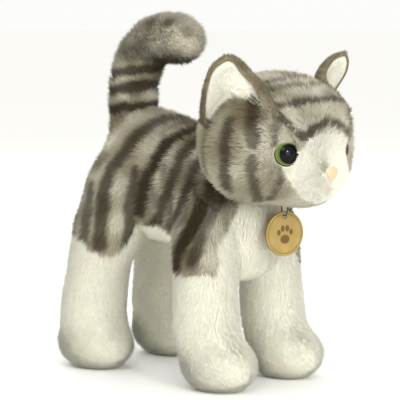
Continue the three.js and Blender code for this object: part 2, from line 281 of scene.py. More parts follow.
def torso(p):
    q = mirrored(p)
    d = ellipsoid(q, (0, 42, 160), (42, 50, 52))
    d = join(d, ellipsoid(q, (0, 2, 152), (43, 80, 51)), 12)
    d = join(d, ellipsoid(q, (0, -36, 141), (41, 48, 45)), 14)
    return join(d, ellipsoid(q, (0, -54, 120), (32, 32, 42)), 14)


def front_leg(p):
    d = ellipsoid(p, (31, -44, 130), (23, 24, 39))
    d = join(d, capsule(p, (35.2, -47.7, 112), (37.8, -51, 50), 25.8, 28), 14)
    return join(d, ellipsoid(p, (38, -65, 20), (29, 35.5, 25)), 16)


def hind_leg(p):
    d = ellipsoid(p, (28, 60, 133), (26, 32, 46))
    d = join(d, capsule(p, (35, 69, 112), (40, 76.5, 48), 26, 29), 14)
    return join(d, ellipsoid(p, (41.5, 72, 20), (29.5, 38, 25)), 14)


def head(p):
    q = mirrored(p)
    d = ellipsoid(q, (0, -89, 195.5), (63, 57.5, 49.5))
    d = join(d, ellipsoid(q, (26, -92, 177), (36, 39, 32)), 16)
    d = join(d, ellipsoid(q, (0, -117.5, 169.5), (39, 28.5, 27.5)), 8)
    far, high = from_eye(q)
    return d + smooth(EYE_PAD_EDGE, EYE_PAD, far) * (high - EYE_PAD_SINK - d)


def from_eye(q):
    """Distance from the line that the eye looks along, and height over the eye's own plane."""
    high = (q - EYE) @ EYE_LOOKS
    far = np.linalg.norm(q - EYE - high[..., None] * EYE_LOOKS, axis=-1)
    return np.where(high > -14, far, 99.0), high


def near_line(p, line, radius=0.0):
    """The distance from a line of points, or from a rod of that radius along it."""
    rods = [capsule(p, a, b, radius, radius) for a, b in zip(line[:-1], line[1:])]
    return np.minimum.reduce(rods)


def tail(p):
    return near_line(p, TAIL_LINE, TAIL_RADIUS)


def legs(p):
    q = mirrored(p)
    return np.minimum(front_leg(q), hind_leg(q))


HEAD_TURN, HEAD_DROP = math.radians(18), math.radians(4)
NECK_MIDDLE = np.array([0, -50, 166.0])


def head_reach(p):
    """The nearest surface of the head at rest and at both ends of its turn, level or nodding down."""
    nearest = head(p)
    for turn in (-HEAD_TURN, HEAD_TURN):
        v = p - NECK_MIDDLE
        x, y = v[..., 0], v[..., 1]
        x, y = x * math.cos(turn) + y * math.sin(turn), y * math.cos(turn) - x * math.sin(turn)
        for drop in (0.0, HEAD_DROP):
            z = v[..., 2] * math.cos(drop) - y * math.sin(drop)
            ahead = y * math.cos(drop) + v[..., 2] * math.sin(drop)
            nearest = np.minimum(nearest, head(np.stack([x, ahead, z], -1) + NECK_MIDDLE))
    return nearest


# ---------- markings
# Each stroke is a line of points on the left side's surface, its half width and how dark it is.
BODY_STROKES = [
    ([(0, -18, 203), (14, -16, 199), (21, -8, 196), (30, -1, 189), (35, 3, 181), (41, 6, 169),
      (43, 12, 158), (42, 17, 145), (39, 23, 130)], 5.5, 1.0),
    ([(0, 14, 209), (19, 23, 203), (29, 28, 196), (36, 36, 187), (41, 41, 176), (46, 48, 165),
      (50, 51, 154), (52, 52, 140), (53, 51, 126), (54, 53, 103)], 5.3, 0.85),
    ([(43, 24, 163), (43, 26, 148), (42, 30, 134), (39, 33, 119), (36, 40, 102)], 4.3, 0.8),
    ([(52, 70, 150), (57, 66, 128), (60, 65, 118), (61, 66, 104)], 4.6, 0.75),
    ([(44, 84, 152), (47, 90, 130), (44, 95, 112)], 4.3, 0.7),
    ([(14, 93, 160), (20, 98, 140), (22, 100, 116)], 4.3, 0.7),
    ([(20, -30, 196), (34, -21, 181), (42, -19, 162), (43, -10, 144), (39, -1, 130),
      (28, 19, 115)], 5.0, 0.9),
    ([(34, -40, 182), (46, -38, 160), (52, -37, 147), (51, -28, 133), (36, 0, 116)], 5.0, 0.9),
    ([(44, -58, 160), (46, -57, 154), (51, -58, 141), (59, -54, 124), (60, -42, 107),
      (58, -36, 94)], 6.0, 1.0),
    ([(38, -70, 150), (47, -66, 135), (53, -64, 124), (58, -60, 111), (59, -56, 101)], 4.3, 0.8),
]
HEAD_STROKES = [
    ([(60, -96, 209), (64, -96, 195), (65, -96, 182), (62, -94, 169), (55, -89, 157)], 4.2, 0.95),
    ([(45, -108, 226), (51, -112, 216), (55, -115, 204), (56, -118, 194)], 4.0, 0.9),
    ([(57, -117, 181), (56, -115, 170), (51, -115, 162), (35, -104, 146)], 3.6, 0.85),
    ([(36, -128, 174), (38, -129, 166), (37, -122, 157), (33, -113, 149)], 3.0, 0.8),
    ([(39, -129, 213), (44, -128, 204), (42, -125, 194)], 3.2, 0.75),
    ([(26, -133, 190), (32, -134, 199), (37, -132, 210)], 2.0, 0.8),
    ([(39, -126, 217), (37, -131, 211), (34, -136, 205), (30, -139, 201)], 2.4, 1.0),
    ([(30, -139, 201), (27, -140, 199), (22, -143, 198), (18, -143, 203), (13, -144, 206),
      (0, -144, 210)], 2.9, 1.0),
    ([(38, -124, 221), (26, -130, 224), (6, -135, 225), (0, -134, 225)], 2.5, 0.95),
    ([(34, -112, 233), (15, -119, 236), (0, -121, 236)], 2.4, 0.75),
    ([(25, -105, 239), (9, -109, 241), (0, -109, 241)], 2.4, 0.7),
    ([(57, -66, 222), (63, -70, 205), (63, -68, 185), (56, -66, 165)], 3.8, 0.75),
    ([(40, -50, 232), (50, -44, 212), (52, -42, 190), (46, -46, 170)], 3.8, 0.75),
]


def rgb(red, green, blue):
    """A colour of 0 to 255, as it looks, in linear light."""
    c = np.array([red, green, blue], float) / 255
    return np.where(c <= 0.04045, c / 12.92, ((c + 0.055) / 1.055) ** 2.4)


DARK, BROWN = rgb(66, 56, 40), rgb(126, 113, 86)
MIDDLE, LIGHT = rgb(158, 150, 125), rgb(216, 210, 188)
WHITE = rgb(250, 247, 226)
MUZZLE_WHITE, LINING_WHITE = rgb(244, 242, 225), rgb(226, 224, 208)


def marked(p, strokes):
    """How dark the stripes make each point, from 0 to 1."""
    q = mirrored(p)
    wobble = (noise(p, 9.0) - 0.5) * 2.4 + (noise(p, 3.0, 7.0) - 0.5) * 2.2
    dark = np.zeros(len(p))
    for line, half, depth in strokes:
        d = near_line(q, line) + wobble
        dark = np.maximum(dark, depth * (1 - smooth(half * 0.7, half * 1.9, d)))
    return dark


def mix(a, b, t):
    """Colour a at t = 0, b at t = 1. Each is one colour or one for each point."""
    return a + (b - a) * np.asarray(t)[:, None]


def paleness(tones):
    """0 on tabby cloth and 1 on white."""
    return smooth(0.45, 0.8, tones.mean(1))


def tabby(p, dark):
    """Mottled grey-brown ground, with the stripes over it."""
    ground = mix(MIDDLE, LIGHT, smooth(0.25, 0.75, noise(p, 17.0, 3.0)))
    ground = mix(ground, BROWN, 0.45 * smooth(0.55, 0.9, noise(p, 26.0, 11.0)))
    return mix(ground, DARK, dark)


# The tabby cloth ends at this height on the flank, from the chest to the rump.
HEM_BACK = [-80, -49, -30, -15, 0, 8, 29, 36, 45, 52, 61, 75, 100]
HEM_HEIGHT = [91, 88, 90, 97, 112, 119, 119, 106, 92, 94, 100, 108, 112]
# Half the width of the white bib, and of the white muzzle and blaze, at each height.
BIB_HEIGHT = [92, 100, 107, 116, 123, 141, 160]
BIB_HALF = [47, 43, 45, 41, 34, 26, 20]
BLAZE_HEIGHT = [144, 147, 150, 156, 162, 168, 175, 182, 187, 192, 196, 199, 201.5]
BLAZE_HALF = [0, 14, 21, 28, 33, 36, 38, 35, 27, 25, 21, 14, 0]
BELLY_HALF = 21


def body_colour(p):
    q = mirrored(p)
    x, y, z = q.T
    edge = (noise(p, 5.0, 5.0) - 0.5) * 5.0
    under_hem = smooth(1.5, -1.5, z - np.interp(y, HEM_BACK, HEM_HEIGHT) + edge)
    on_bib = smooth(1.5, -1.5, x - np.interp(z, BIB_HEIGHT, BIB_HALF) + edge) * smooth(-44, -52, y)
    on_belly = smooth(1.5, -1.5, x - BELLY_HALF + edge) * smooth(127, 121, z)
    white = np.maximum(np.maximum(under_hem, on_bib), on_belly)
    streak = noise(p * np.array([1.0, 1.0, 0.3]), 6.0, 21.0)
    saddle = smooth(24, 2, y) * smooth(112, 128, z)
    tone = tabby(p, np.maximum(marked(p, BODY_STROKES), 0.62 * saddle * smooth(0.75, 0.3, streak)))
    tone = mix(tone, DARK, 0.75 * smooth(17, 6, distance(q, (40, -64, 152))))
    tone = mix(tone, LIGHT, 0.6 * smooth(14, 4, distance(q, (44, -71, 122))))
    return mix(tone, WHITE, white)


def head_colour(p):
    q = mirrored(p)
    x, y, z = q.T
    edge = (noise(p, 4.0, 5.0) - 0.5) * 2.4
    white = smooth(1.2, -1.2, x - np.interp(z, BLAZE_HEIGHT, BLAZE_HALF) + edge) * smooth(-98, -106, y)
    dark = marked(p, HEAD_STROKES)
    tone = tabby(p, 0.86 * dark)
    by_ear = smooth(19, 8, distance(q, (54, -109, 216)))
    tone = mix(tone, mix(BROWN, DARK, dark), 0.75 * by_ear)
    cheek, brow = smooth(15, 6, distance(q, (54, -121, 190))), smooth(17, 8, distance(q, (12, -138, 217)))
    pale = np.maximum(cheek, brow)
    tone = mix(tone, LIGHT, 0.7 * pale * (1 - dark))
    return mix(tone, MUZZLE_WHITE, white)


# The tail's rings: height, half width and how dark each is.
RINGS = [(192.0, 3.4, 0.75), (211.0, 4.2, 0.95), (227.0, 4.0, 0.9), (241.0, 3.6, 0.85)]


def tail_colour(p):
    _, y, z = p.T
    wobble = (noise(p, 8.0) - 0.5) * 4.0
    dark = np.zeros(len(p))
    for height, half, depth in RINGS:
        d = np.abs(z + 0.12 * (y - 60) - height + wobble) + np.where(y < 34, 40, 0)
        dark = np.maximum(dark, depth * (1 - smooth(half * 0.6, half * 1.6, d)))
    dark = np.maximum(dark, 0.4 * smooth(16, 6, distance(mirrored(p), (14, 40, 258)) + wobble))
    # Painted shade under the tail's forward curl (its underside goes dark) and painted light on its top (it
    # turns pale).
    dark = np.maximum(dark, 0.95 * smooth(255, 248, z + wobble) * smooth(44, 34, y))
    tone = tabby(p, dark)
    pale = smooth(253, 262, z + wobble) * smooth(40, 26, y)
    tone = mix(tone, LIGHT, 0.9 * pale)
    brown = np.minimum(distance(p, (-8, -3, 274)), distance(p, (-12, 16, 281)))
    return mix(tone, BROWN, 0.6 * smooth(8, 3, brown))


# ---------- meshes
def points_of(obj):
    """The object's points in the cat's millimetres."""
    return read(obj.data.vertices, "co", 3) / MM - SHIFT


RAY_STEP, RAY_REACH, HALVINGS = 1.5, 110, 12


def skin(name, shape, axis, rings, sides, cap=0.3):
    """A closed skin: rays leave the axis all round, and stop where they reach the shape's surface."""
    axis = np.array(axis, float)
    along = np.concatenate([[0], np.cumsum(np.linalg.norm(np.diff(axis, axis=0), axis=1))])
    origins, directions = [], []
    for i in range(1, rings):
        t = i / rings
        lean = -math.pi / 2 * (1 - min(1, t / cap)) + math.pi / 2 * max(0, (t - (1 - cap)) / cap)
        at = np.clip((t - cap) / (1 - 2 * cap), 0, 1) * along[-1]
        centre = np.array([np.interp(at, along, axis[:, k]) for k in range(3)])
        k = min(int(np.searchsorted(along, at, side="right")) - 1, len(axis) - 2)
        ahead = unit(axis[k + 1] - axis[k])
        across = unit(np.cross(ahead, [1.0, 0.0, 0.0]))
        level = np.cross(across, ahead)
        for j in range(sides):
            a = 2 * math.pi * j / sides
            out = math.cos(a) * level + math.sin(a) * across
            origins.append(centre)
            directions.append(math.cos(lean) * out + math.sin(lean) * ahead)
    for end, inner in ((0, 1), (-1, -2)):
        origins.append(axis[end])
        directions.append(unit(axis[end] - axis[inner]))
    origins, directions = np.array(origins), np.array(directions)
    low = np.zeros(len(origins))
    for step in np.arange(RAY_STEP, RAY_REACH, RAY_STEP):
        inside = shape(origins + directions * step) < 0
        low = np.where(inside & (low > step - 1.5 * RAY_STEP), step, low)
    high = low + RAY_STEP
    for _ in range(HALVINGS):
        middle = (low + high) / 2
        inside = shape(origins + directions * middle[:, None]) < 0
        low, high = np.where(inside, middle, low), np.where(inside, high, middle)
    surface = origins + directions * low[:, None]
    obj = new_object(name, to_row(surface), capped_rings(rings - 1, sides))
    normals_out(obj)
    return obj


def apply_modifiers(obj):
    """Makes what the modifiers show the object's own mesh."""
    depsgraph = bpy.context.evaluated_depsgraph_get()
    mesh = bpy.data.meshes.new_from_object(obj.evaluated_get(depsgraph))
    obj.modifiers.clear()
    old = obj.data
    obj.data = mesh
    bpy.data.meshes.remove(old)
    shade_smooth(mesh)


def with_neighbours(mesh, values):
    """For each point, the sum of its own vector and its neighbours', and how many that is."""
    a, b = read(mesh.edges, "vertices", 2, int).T
    total, count = values.copy(), np.ones(len(values))
    for start, end in ((a, b), (b, a)):
        for k in range(3):
            total[:, k] += np.bincount(start, values[end, k], len(values))
        count += np.bincount(start, minlength=len(values))
    return total, count[:, None]


CLOTH_FRAMES, CLOTH_REACH, CLOTH_EVENING = 20, 1.3, 10


def stuff(obj, voxel):
    """Fills the cloth skin with a little pressure, then keeps each point within reach of its pattern."""
    remesh = obj.modifiers.new("remesh", "REMESH")
    remesh.mode, remesh.voxel_size = "VOXEL", voxel * MM
    even = obj.modifiers.new("even", "SMOOTH")
    even.factor, even.iterations = 0.5, 5
    apply_modifiers(obj)
    rest = points_of(obj)
    cloth = obj.modifiers.new("cloth", "CLOTH")
    settings = cloth.settings
    settings.quality = 6
    settings.mass = 0.3
    settings.use_pressure = True
    settings.uniform_pressure_force = 4.0
    settings.tension_stiffness = settings.compression_stiffness = 15
    settings.bending_stiffness = 0.5
    settings.effector_weights.gravity = 0
    cloth.collision_settings.use_collision = False
    cloth.point_cache.frame_start, cloth.point_cache.frame_end = 1, CLOTH_FRAMES
    for number in range(1, CLOTH_FRAMES + 1):
        bpy.context.scene.frame_set(number)
    apply_modifiers(obj)
    moved = points_of(obj) - rest
    moved = moved - moved.mean(0)
    far = np.linalg.norm(moved, axis=1, keepdims=True)
    moved = moved * np.minimum(1, CLOTH_REACH / (far + 1e-9))
    for _ in range(CLOTH_EVENING):
        total, count = with_neighbours(obj.data, moved)
        moved = total / count
    obj.data.vertices.foreach_set("co", to_row(rest + moved).ravel())
    bpy.context.scene.frame_set(1)
    subdivision = obj.modifiers.new("finer", "SUBSURF")
    subdivision.levels = subdivision.render_levels = 1
    apply_modifiers(obj)


def paint(obj, colours):
    """Gives each point its colour, under the name that every material looks for."""
    attribute = obj.data.color_attributes.new(name="tone", type="FLOAT_COLOR", domain="POINT")
    attribute.data.foreach_set("color", np.c_[colours, np.ones(len(colours))].astype(np.float32).ravel())


# ---------- materials
BUMP_HEIGHT = 0.6 * MM


def material(name, roughness, sheen=0.0, grain=0.12, grain_scale=900.0, bump=0.0, bump_scale=700.0,
             metallic=0.0, specular=0.3):
    """The piece's painted tone under fine procedural grain, with bumps where the cloth has them."""
    m = bpy.data.materials.new(name)
    m.use_nodes = True
    nodes, link = m.node_tree.nodes, m.node_tree.links.new
    shader = nodes["Principled BSDF"]
    tone = nodes.new("ShaderNodeAttribute")
    tone.attribute_name = "tone"
    place = nodes.new("ShaderNodeTexCoord")
    texture = nodes.new("ShaderNodeTexNoise")
    texture.inputs["Scale"].default_value = grain_scale
    texture.inputs["Detail"].default_value = 3.0
    link(place.outputs["Object"], texture.inputs["Vector"])
    span = nodes.new("ShaderNodeMapRange")
    span.inputs["To Min"].default_value = 1 - grain
    span.inputs["To Max"].default_value = 1 + grain
    link(texture.outputs["Fac"], span.inputs["Value"])
    scale = nodes.new("ShaderNodeVectorMath")
    scale.operation = "SCALE"
    link(tone.outputs["Color"], scale.inputs[0])
    link(span.outputs["Result"], scale.inputs["Scale"])
    link(scale.outputs["Vector"], shader.inputs["Base Color"])
    if bump:
        lumps = nodes.new("ShaderNodeTexNoise")
        lumps.inputs["Scale"].default_value = bump_scale
        link(place.outputs["Object"], lumps.inputs["Vector"])
        height = nodes.new("ShaderNodeBump")
        height.inputs["Strength"].default_value = bump
        height.inputs["Distance"].default_value = BUMP_HEIGHT
        link(lumps.outputs["Fac"], height.inputs["Height"])
        link(height.outputs["Normal"], shader.inputs["Normal"])
    shader.inputs["Roughness"].default_value = roughness
    shader.inputs["Sheen Weight"].default_value = sheen
    shader.inputs["Sheen Roughness"].default_value = 0.5
    shader.inputs["Metallic"].default_value = metallic
    shader.inputs["Specular IOR Level"].default_value = specular
    return m


cloth_back = material("cloth_backing", roughness=1.0, sheen=0.1, bump=0.15, specular=0.03)
pile = material("pile", roughness=1.0, sheen=0.1, grain=0.1, grain_scale=400.0, specular=0.03)
short_pile = material("short_pile", roughness=1.0, sheen=0.1, grain=0.08, grain_scale=600.0, specular=0.03)
felt = material("felt", roughness=0.95, sheen=0.2, bump=0.5)
stitch = material("stitch", roughness=0.6, sheen=0.2, bump=0.4, bump_scale=1500.0)
eye_plastic = material("eye_plastic", roughness=0.03, grain=0.1, specular=0.18)
card = material("card", roughness=0.42, grain=0.08, bump=0.1, metallic=0.1)


def put_on(obj, shader):
    obj.data.materials.clear()
    obj.data.materials.append(shader)


# ---------- fur
# A hair is a spike with three root corners and a tip, wound so that its three sides face out. It is
# shaded mostly as the cloth under it would be. Painted shade: dark hairs are darker at the root than at the
# tip.
SPIKE_CORNERS = [1, 0, 3, 2, 1, 3, 0, 2, 3]
SPIKE_UV = np.array([[0, 0], [1, 0], [0.5, 0.3], [0.5, 1]])[SPIKE_CORNERS] * 0.9 + 0.05
NORMAL_PASSES, ROOT_SINK, FLOOR_GAP = 8, 0.5, 0.35
FREELY_CURLY, SWIRL, LUMPS, LEAN_SPREAD, DROOP = 8.0, 0.22, 34 / 0.3, 7, 20
# Multipliers of painted shade for each hair's corners: the three root corners, then the tip.
DARK_HAIR_PAINTED_SHADE, PALE_HAIR_PAINTED_SHADE = np.array([0.68, 0.68, 0.68, 1.14]), np.array([1.0, 1.0, 1.0, 1.06])
TO_SKIN, TO_HAIR, TO_SKY = 0.88, 0.12, np.array([0, 0, 0.22])


def scattered(base, density, rng):
    """Roots all over the base, density to each square centimetre, and the way out of the cloth at each."""
    mesh = base.data
    mesh.calc_loop_triangles()
    corners = read(mesh.loop_triangles, "vertices", 3, int)
    co = points_of(base)
    normals = read(mesh.vertices, "normal", 3)
    for _ in range(NORMAL_PASSES):
        normals = unit(with_neighbours(mesh, normals)[0])
    a, b, c = (co[corners[:, k]] for k in range(3))
    area = np.linalg.norm(np.cross(b - a, c - a), axis=1) / 2
    count = int(area.sum() / 100 * density)
    pick = rng.choice(len(area), count, p=area / area.sum())
    u, v = rng.random(count), rng.random(count)
    flip = u + v > 1
    u, v = np.where(flip, 1 - u, u), np.where(flip, 1 - v, v)
    weights = np.stack([1 - u - v, u, v], 1)[:, :, None]
    return (co[corners[pick]] * weights).sum(1), unit((normals[corners[pick]] * weights).sum(1))


def spike_mesh(name, spikes, facing):
    """One object of spikes (hair, corner, xyz). facing is the way that each hair takes the light."""
    count = len(spikes)
    made = bpy.data.meshes.new(name)
    made.vertices.add(count * 4)
    made.vertices.foreach_set("co", to_row(spikes.reshape(-1, 3)).astype(np.float32).ravel())
    loops = (np.arange(count)[:, None] * 4 + np.array(SPIKE_CORNERS)).ravel()
    made.loops.add(len(loops))
    made.loops.foreach_set("vertex_index", loops.astype(np.int32))
    made.polygons.add(count * 3)
    made.polygons.foreach_set("loop_start", np.arange(0, len(loops), 3).astype(np.int32))
    made.update(calc_edges=True)
    shade_smooth(made)
    grid = int(math.ceil(math.sqrt(count)))
    cell = np.stack([np.arange(count) % grid, np.arange(count) // grid], 1) / grid
    uv = (cell[:, None, :] + SPIKE_UV[None] / grid).reshape(-1, 2)
    layer = made.uv_layers.new(name="OFBake")
    layer.data.foreach_set("uv", uv.astype(np.float32).ravel())
    made.normals_split_custom_set_from_vertices([tuple(v) for v in np.repeat(facing, 4, axis=0)])
    return in_scene(name, made)


def fur(name, base, colour, density, length, nap, keep, lift=36.0, width=0.62, skin_depth=4.0,
        clump=0.3, sparse=None, seed=1, shader=pile):
    """Hairs of pile rooted all over the base, combed along nap. Lengths are in millimetres, and lift
    is how far a hair leans over from upright, in degrees."""
    rng = np.random.default_rng(seed)
    root, out = scattered(base, density, rng)
    chosen = keep(root)
    if sparse is not None:
        chosen &= rng.random(len(root)) < sparse(root)
    root, out = root[chosen], out[chosen]
    count = len(root)
    comb = nap(root)
    comb = unit(comb - (comb * out).sum(1, keepdims=True) * out)
    side = np.cross(out, comb)
    size = length(root) if callable(length) else np.full(count, float(length))
    size = size * rng.uniform(0.72, 1.18, count)
    curly = np.clip(size / FREELY_CURLY, 0.15, 1.0)
    swirl = ((noise(root, 6.0, 1.0 + seed) - 0.5) * 2 * clump + rng.normal(0, SWIRL, count)) * curly
    comb = unit(comb + side * swirl[:, None])
    lumps = (noise(root, 5.0, 9.0 + seed) - 0.5) * LUMPS * clump
    lean = lift + (lumps + rng.normal(0, LEAN_SPREAD, count)) * curly
    first, second = (unit(out * np.cos(tilt)[:, None] + comb * np.sin(tilt)[:, None])
                     for tilt in (np.radians(lean), np.radians(lean + DROOP)))
    tip = root + (first + second) * (size * 0.5)[:, None]
    across = unit(np.cross(first, out))
    third = np.cross(first, across)
    half = (width * rng.uniform(0.75, 1.25, count) * (1 + 0.45 * smooth(5.0, 3.0, size)) / 2)[:, None]
    start = root - out * ROOT_SINK
    spikes = np.stack([start + third * half, start + (across - third * 0.5) * half,
                       start - (across + third * 0.5) * half, tip], 1)
    spikes[:, :, 2] = np.maximum(spikes[:, :, 2], FLOOR_GAP)
    shade = rng.uniform(0.88, 1.1, count)
    tones = colour(root + out * skin_depth + comb * (size * 0.38)[:, None]) * shade[:, None]
    # Painted shade: the root corners of dark hairs are darkened and their tips lightened; pale hairs barely
    # change.
    painted_root_shade = mix(DARK_HAIR_PAINTED_SHADE, PALE_HAIR_PAINTED_SHADE, paleness(tones))
    tones = np.clip(tones[:, None, :] * painted_root_shade[:, :, None], 0, 0.98).reshape(-1, 3)
    obj = spike_mesh(name, spikes, unit(out * TO_SKIN + first * TO_HAIR + TO_SKY))
    paint(obj, tones)
    put_on(obj, shader)
    return obj


# ---------- stuffed pieces
SIDES = (("left", 1.0), ("right", -1.0))
LONG = 4.0
WHOLE_BLEND, OVERLAP, SOLE_GAP = 12, 4.0, 0.3


def within(own, others, depth):
    """A piece's skin: its part of the whole cat's surface, and a little way inside its neighbours."""
    def shape(p):
        mine = own(p)
        rest = others(p)
        whole = np.maximum(join(mine, rest, WHOLE_BLEND), mine - OVERLAP)
        return np.maximum(whole + depth + 0.5 * smooth(-1, 2, mine - rest), SOLE_GAP - p[..., 2])
    return shape


def not_inside(*shapes):
    """Keeps the roots that can be seen: over the floor, and no deeper than that in each shape."""
    def keep(p):
        ok = p[:, 2] > 1.5
        for shape, depth in shapes:
            ok &= shape(p) > -depth
        return ok
    return keep


def backing(tones):
    """The cloth under the pile: darker than tabby hair, and nearly as pale as white."""
    return tones * (0.6 + 0.39 * paleness(tones))[:, None]


def dress(skin_piece, colour, voxel):
    """Stuffs a skin and colours its cloth."""
    stuff(skin_piece, voxel)
    paint(skin_piece, backing(colour(points_of(skin_piece))))
    put_on(skin_piece, cloth_back)


def finish_piece(objs, bodies):
    """A piece with one body is hung on it. A piece given two bodies is only fixed in place, hung on neither.
    """
    for obj in objs:
        if len(bodies) == 1:
            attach(obj, bodies[0])
        else:
            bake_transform(obj)


# The torso
torso_skin = skin("torso_skin", within(torso, lambda p: np.minimum(legs(p), tail(p)), LONG),
                  [(0, -34, 142), (0, 42, 152)], 40, 48, cap=0.42)
dress(torso_skin, body_colour, voxel=5.0)


def body_nap(p):
    """Combed back along the spine and down the sides."""
    down = np.clip((175 - p[:, 2]) / 70, 0.15, 1.0)
    back = np.where(p[:, 1] < -60, 0.1, 1.0)
    return np.stack([np.sign(p[:, 0]) * 0.15, back, -down], 1)


def body_length(p):
    """Long on the tabby cloth, and shorter down the white legs."""
    return 7.0 - 1.6 * smooth(110, 80, p[:, 2])


torso_fur = fur("torso_fur", torso_skin, body_colour, 140, body_length, body_nap,
                keep=not_inside((legs, 9.5), (tail, 9.0), (head, 12.0)), seed=2)
finish_piece([torso_skin, torso_fur], ["torso"])
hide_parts("torso_side_left", "torso_side_right", "torso_belly", "torso_chest", "torso_fill")

# The neck, hidden inside the head and the torso
NECK_RADIUS = 19
neck_skin = skin("neck_skin", lambda p: ellipsoid(p, NECK_MIDDLE, [NECK_RADIUS] * 3),
                 [(0, -50, 165), (0, -50, 167)], 16, 20)
paint(neck_skin, WHITE * 0.9 * (0.9 + 0.2 * noise(points_of(neck_skin), 4.0))[:, None])
put_on(neck_skin, cloth_back)
finish_piece([neck_skin], ["neck"])
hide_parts("neck_fill")

# The legs. Each skin stays clear of the head at both ends of its turn.
HEAD_CLEARANCE = 3.5
for word, shape, axis in (
    ("front", front_leg, [(34, -48, 132), (35, -49, 100), (37, -52, 50), (37.5, -60, 22)]),
    ("hind", hind_leg, [(31, 64, 136), (36, 70, 100), (41, 75, 50), (42, 74, 22)]),
):
    for side_word, side in SIDES:
        flip = np.array([side, 1.0, 1.0])
        name = f"{word}_leg_{side_word}"

        def own(p, shape=shape, flip=flip):
            return shape(p * flip)

        def own_skin(p, own=own):
            return np.maximum(within(own, torso, LONG)(p), HEAD_CLEARANCE - head_reach(p))

        leg_skin = skin(f"{name}_skin", own_skin, np.array(axis) * flip, 52, 32, cap=0.2)
        dress(leg_skin, body_colour, voxel=4.5)

        def leg_nap(p, flip=flip):
            """Combed down the leg, and forward over the toes."""
            toe = smooth(45, 15, p[:, 2])
            return np.stack([0.05 * flip[0] * np.ones(len(p)), 0.3 - 1.1 * toe, -1.0 + 0.5 * toe], 1)

        leg_fur = fur(f"{name}_fur", leg_skin, body_colour, 150, body_length, leg_nap,
                      keep=not_inside((torso, 8.5), (head_reach, -4.5)), lift=42.0, clump=0.2,
                      seed=3 + (side > 0) + 2 * (word == "hind"))
        finish_piece([leg_skin, leg_fur], ["torso", name])
        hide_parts(f"{name}_upper_skin", f"{name}_sleeve_skin", f"{name}_sole", f"{name}_fill")


# The tail, split at its bend
def part_of_tail(first, last):
    return lambda p: near_line(p, TAIL_LINE[first:last + 1], TAIL_RADIUS) + LONG


def tail_nap(p):
    """Combed up to the bend and then forward to the tip."""
    up = smooth(268, 235, p[:, 2])
    return np.stack([0 * up, -1.2 * (1 - up), up - 0.25 * (1 - up)], 1)


for word, first, last, start, end, bodies in (
    ("tail_lower", 0, 2, (0, 66, 160), (0, 68, 190), ["torso", "tail_lower"]),
    ("tail_upper", 2, 6, (0, 71, 216), (0, 66, 246), ["tail_lower", "tail_upper"]),
):
    tail_skin = skin(f"{word}_skin", part_of_tail(first, last), TAIL_LINE[first:last + 1], 30, 32, cap=0.25)
    dress(tail_skin, tail_colour, voxel=4.5)
    if word == "tail_lower":
        keep = not_inside((torso, 9.0), (part_of_tail(2, 6), 1.0))
    else:
        keep = not_inside((part_of_tail(0, 2), 1.0))
    tail_fur = fur(f"{word}_fur", tail_skin, tail_colour, 150, 6.8, tail_nap, keep=keep, seed=11 + first)
    finish_piece([tail_skin, tail_fur], bodies)
    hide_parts(f"{word}_skin", f"{word}_fill")


# The head
NOSE_AT, NOSE_HALF, NOSE_TALL = np.array([0.3, -146.0, 170.4]), 6.0, 4.9
SHORTER = 2.2


def head_depth(p):
    """How deep the skin lies under the pile's surface: less on the muzzle and by the eyes."""
    q = mirrored(p)
    muzzle = smooth(4, -2, ellipsoid(q, (0, -117.5, 169.5), (41, 31, 29.5))) * smooth(-100, -112, p[..., 1])
    return LONG - SHORTER * np.maximum(muzzle, smooth(22, 11, from_eye(q)[0]))


head_skin = skin("head_skin", lambda p: head(p) + head_depth(p),
                 [(0, -62, 190), (0, -104, 184)], 48, 60, cap=0.45)
dress(head_skin, head_colour, voxel=4.0)


def head_nap(p):
    """Combed away from the nose on every side, and falling a little further off."""
    away = p - np.array([0, -150, 170.4])
    falling = 14 * smooth(15, 50, np.linalg.norm(away, axis=1))
    return unit(np.stack([away[:, 0], away[:, 1] * 0.9, away[:, 2] * 0.8 - falling], 1))


def head_length(p):
    return 3.3 + (head_depth(p) - LONG + SHORTER) * 1.65


def head_keep(p):
    """No hair is rooted under an eye, the nose or the string."""
    q = mirrored(p)
    nose = np.hypot(q[:, 0] / 5.1, (q[:, 2] - NOSE_AT[2]) / 4.1) + np.where(p[:, 1] > -138, 9, 0)
    string = (q[:, 0] < 2.4) & (p[:, 2] < 156) & (p[:, 1] > -117) & (p[:, 1] < -92)
    return (from_eye(q)[0] > 9.7) & (nose > 1) & ~string


def head_share(p):
    """The short pile of the muzzle is twice as dense as the rest."""
    return 0.47 + 0.53 * smooth(3.4, 2.0, head_depth(p))


head_fur = fur("head_fur", head_skin, head_colour, 330, head_length, head_nap, keep=head_keep,
               sparse=head_share, seed=21)
finish_piece([head_skin, head_fur], ["head"])
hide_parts("head_side_left", "head_side_right", "head_crown", "head_chin", "head_fill", "muzzle")

# ---------- ears
# Each ear is a cup. Its rim runs from the front corner over the tip to the back one, and under the fur.
EAR_RIM = [(40.5, -127.5, 213), (38.5, -122.5, 221), (37, -116, 228), (35, -108, 234.5),
           (41.5, -102.5, 244), (53, -101, 253), (65, -102, 256.5), (72, -99, 253), (76, -96, 248),
           (77, -92, 240), (73, -84, 226), (66, -76, 212), (60, -72, 205), (48, -84, 200), (38, -104, 202)]
EAR_MIDDLE, EAR_FACING = np.array([56, -98, 230.]), np.array([0.38, -0.91, -0.14])
EAR_HOLLOW, EAR_THICK, EAR_FOLD = 10.0, 3.2, 6.0
EAR_SIDES, EAR_RINGS, LINING_RINGS, LINING_EDGE = 84, 16, 12, 0.85
EAR_ROOT, EAR_TOP = np.array([48, -94, 214.]), np.array([56, -97, 236.])


